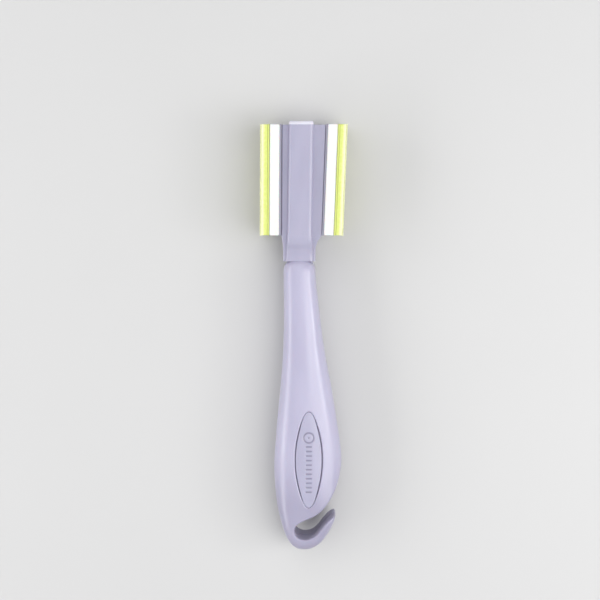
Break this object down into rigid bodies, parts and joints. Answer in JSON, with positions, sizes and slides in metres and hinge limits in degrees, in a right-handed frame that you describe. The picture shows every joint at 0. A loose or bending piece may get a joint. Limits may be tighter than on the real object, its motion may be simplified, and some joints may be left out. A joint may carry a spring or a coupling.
{
  "type": "paint pad edger",
  "caption": "Double-sided paint pad edger: slim head with a foam-backed nap pad on each side, teardrop two-shell handle and an open hanging hook.",
  "frame": {"origin": "on the surface it lies on, under the middle of its outline", "axes": "+Z out of the front of the tool, +Y along it towards the head end, +X to the right seen from the front, where the hook opens"},
  "size_m": [0.04, 0.2, 0.022],
  "materials": {
    "handle_plastic": "satin moulded",
    "head_plastic": "fine satin moulded",
    "cap_plastic": "satin moulded",
    "badge_plastic": "satin moulded",
    "plate_plastic": "matte moulded",
    "pad_foam": "open-cell foam",
    "pad_nap": "short dense pile",
    "screw_steel": "zinc plated"
  },
  "bodies": {
    "tool": {"head_frame": "head_plastic", "spine_end_cap": "cap_plastic", "handle_front_shell": "handle_plastic", "handle_back_shell": "handle_plastic", "badge_plate": "badge_plastic", "handle_screws": "screw_steel"},
    "left_refill": {"left_pad_rail_plate": "plate_plastic", "left_pad_foam": "pad_foam", "left_pad_backing": "pad_nap", "left_pad_pile": "pad_nap"},
    "right_refill": {"right_pad_rail_plate": "plate_plastic", "right_pad_foam": "pad_foam", "right_pad_backing": "pad_nap", "right_pad_pile": "pad_nap"}
  },
  "joints": [
    {"name": "left_refill_slide", "type": "slide", "parent": "tool", "child": "left_refill", "axis": [0.007, 1, 0], "range_m": [0, 0.052]},
    {"name": "right_refill_slide", "type": "slide", "parent": "tool", "child": "right_refill", "axis": [0.0366, 0.9993, 0], "range_m": [0, 0.052]}
  ]
}
